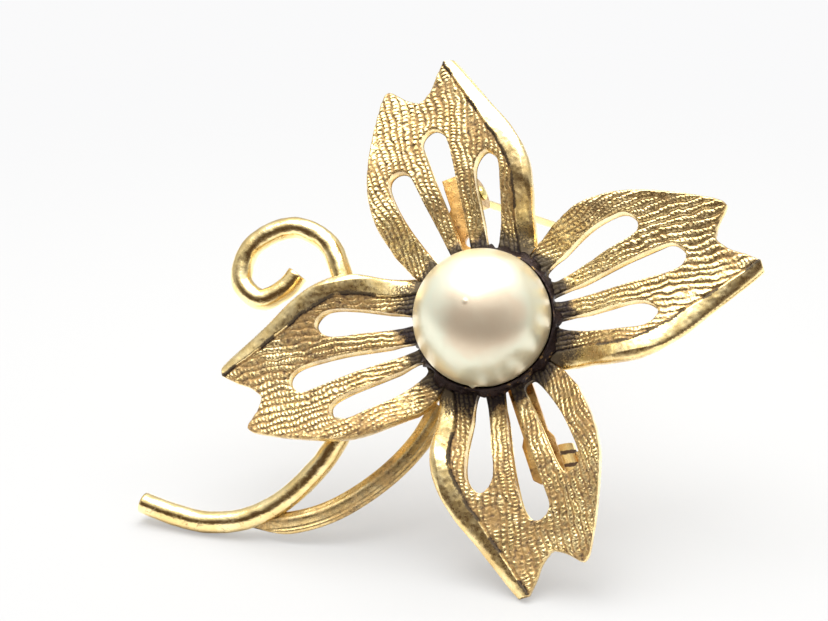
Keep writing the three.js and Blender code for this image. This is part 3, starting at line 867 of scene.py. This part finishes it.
BEVEL = 0.09
HARDWARE = {  # each CAD node's slot and material
    "centre_hub": ("back_gold", "back_gold"),
    "pearl_post": ("back_gold", "back_gold"),
    "hinge_bracket": ("back_gold", "back_gold"),
    "hinge_rivet": ("pin_metal", "pin_metal"),
    "catch_roller": ("back_gold", "back_gold"),
    "pin_stem": ("pin_metal", "pin_metal"),
    "solder_scroll": ("solder", "solder"),
    "solder_branch": ("solder", "solder"),
    "solder_bar_left": ("solder", "solder"),
    "solder_bar_right": ("solder", "solder"),
    # The pin bar's darker metal is painted shade from the petals in front of it.
    "pin_bar": ("back_gold", "shaded_bar_gold"),
    "catch_body": ("back_gold", "catch_gold"),
}


def dress(node, material):
    """Rounds a CAD node's edges and gives it its material."""
    piece = frame["nodes"][node]
    weld = piece.modifiers.new("weld", "WELD")
    weld.merge_threshold = 0.002 * MM
    edge = piece.modifiers.new("bevel", "BEVEL")
    edge.width = BEVEL * MM
    edge.segments = 3
    edge.limit_method = "ANGLE"
    edge.angle_limit = math.radians(35)
    edge.harden_normals = True
    piece.data.materials.clear()
    piece.data.materials.append(MATERIAL[material])


for node, (slot, material) in HARDWARE.items():
    dress(node, material)

# ---- stage, light and camera ---------------------------------------------------------------------

scene = bpy.context.scene
scene.view_settings.view_transform = "Standard"
scene.view_settings.look = "None"

FLOOR_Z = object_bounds()[0].z - 0.02 * MM
FLOOR_REACH = 4.0
PAPER = rgb(0.80, 0.80, 0.80)  # as the brooch sees it
PAPER_SEEN = rgb(0.48, 0.48, 0.478)  # as the camera sees it
PAPER_GLOW = rgb(0.955, 0.955, 0.96)
PAPER_DARK = rgb(0.10, 0.07, 0.05)
GLOW_FADE = (30, 170, 0.42, 1.0)  # from this far out to this far, in mm, and its share at each end
DARK_FADE = (45, 110)  # the same for the dark end of the paper

TENT_LOW = rgb(0.62, 0.62, 0.60)
TENT_HIGH = rgb(1.25, 1.25, 1.22)
ROOM = rgb(0.10, 0.068, 0.046)
OPENING_X = 0.12  # how far the tent's opening is turned from straight ahead

LENS = 96.2
CAMERA_AT = Vector((59.66, -198.87, 85.83))  # from the flower, in mm
CAMERA_BACK = Vector((0.3008, -0.8770, 0.3746)).normalized()
CAMERA_RIGHT = Vector((0.94591, 0.32443, 0)).normalized()


def add_floor():
    """White paper.

    To the camera it glows more evenly further from the brooch. In reflections it ends in the dark
    towards the viewer.
    """
    mesh = bpy.data.meshes.new("floor")
    corners = [(x * FLOOR_REACH, y * FLOOR_REACH, FLOOR_Z) for x, y in ((-1, -1), (1, -1), (1, 1), (-1, 1))]
    mesh.from_pydata(corners, [], [(0, 1, 2, 3)])
    floor = bpy.data.objects.new("floor", mesh)
    scene.collection.objects.link(floor)
    n = Surface("pale_floor")
    n.set(Roughness=0.7)
    toward = n.vector("DOT_PRODUCT", n.place, (0.3, -1.0, 0.0))
    seen = n.seen()
    dark = n.maths("MULTIPLY", n.span(toward, *DARK_FADE), n.maths("SUBTRACT", 1.0, seen))
    n.set(Base_Color=n.mix(dark, n.mix(seen, PAPER, PAPER_SEEN), PAPER_DARK))
    glow = n.new("ShaderNodeEmission")
    glow.inputs["Color"].default_value = PAPER_GLOW
    far = n.maths("MULTIPLY", n.span(n.vector("LENGTH", n.place), *GLOW_FADE), seen)
    blend = n.new("ShaderNodeMixShader")
    n.put(blend.inputs["Fac"], far)
    n.link(n.shader.outputs["BSDF"], blend.inputs[1])
    n.link(glow.outputs["Emission"], blend.inputs[2])
    n.link(blend.outputs["Shader"], n.tree.nodes["Material Output"].inputs["Surface"])
    mesh.materials.append(n.material)


def add_light(name, place, target, size, power):
    data = bpy.data.lights.new(name, "AREA")
    data.shape = "RECTANGLE"
    data.size, data.size_y = size
    data.energy = power
    light = bpy.data.objects.new(name, data)
    scene.collection.objects.link(light)
    light.location = place
    light.rotation_mode = "QUATERNION"
    light.rotation_quaternion = (Vector(target) - Vector(place)).to_track_quat("-Z", "Y")


def add_world():
    """A white tent, brightest overhead, that opens on a dim warm room towards the viewer."""
    world = bpy.data.worlds.new("tent")
    scene.world = world
    world.use_nodes = True
    n = Nodes(world.node_tree)
    background = n.tree.nodes["Background"]
    place = n.new("ShaderNodeTexCoord").outputs["Generated"]
    split = n.new("ShaderNodeSeparateXYZ")
    n.link(place, split.inputs[0])
    height = split.outputs["Z"]
    heading = n.vector("NORMALIZE", n.vector("MULTIPLY", place, (1, 1, 0)))
    front = n.vector("DOT_PRODUCT", heading, Vector((OPENING_X, -1, 0)).normalized())
    opening = n.maths("MULTIPLY", n.span(front, 0.15, 0.72), n.span(height, 0.48, 0.80, 1.0, 0.0))
    tent = n.mix(n.span(height, 0.25, 0.9), TENT_LOW, TENT_HIGH)
    lit = n.mix(opening, tent, ROOM)
    n.link(n.mix(n.seen(), lit, PAPER_GLOW), background.inputs["Color"])
    background.inputs["Strength"].default_value = 1.0


def add_camera():
    data = bpy.data.cameras.new("camera")
    data.sensor_width = 36
    data.lens = LENS
    data.clip_start = 0.01
    data.clip_end = 20
    camera = bpy.data.objects.new("camera", data)
    scene.collection.objects.link(camera)
    turn = Matrix((CAMERA_RIGHT, CAMERA_BACK.cross(CAMERA_RIGHT).normalized(), CAMERA_BACK))
    camera.matrix_world = Matrix.Translation(FLOWER + CAMERA_AT * MM) @ turn.transposed().to_4x4()
    scene.camera = camera


add_floor()
add_world()
add_light("overhead", (-0.02, 0.015, 0.42), (0, 0, 0.02), (0.5, 0.36), 2.85)
add_camera()
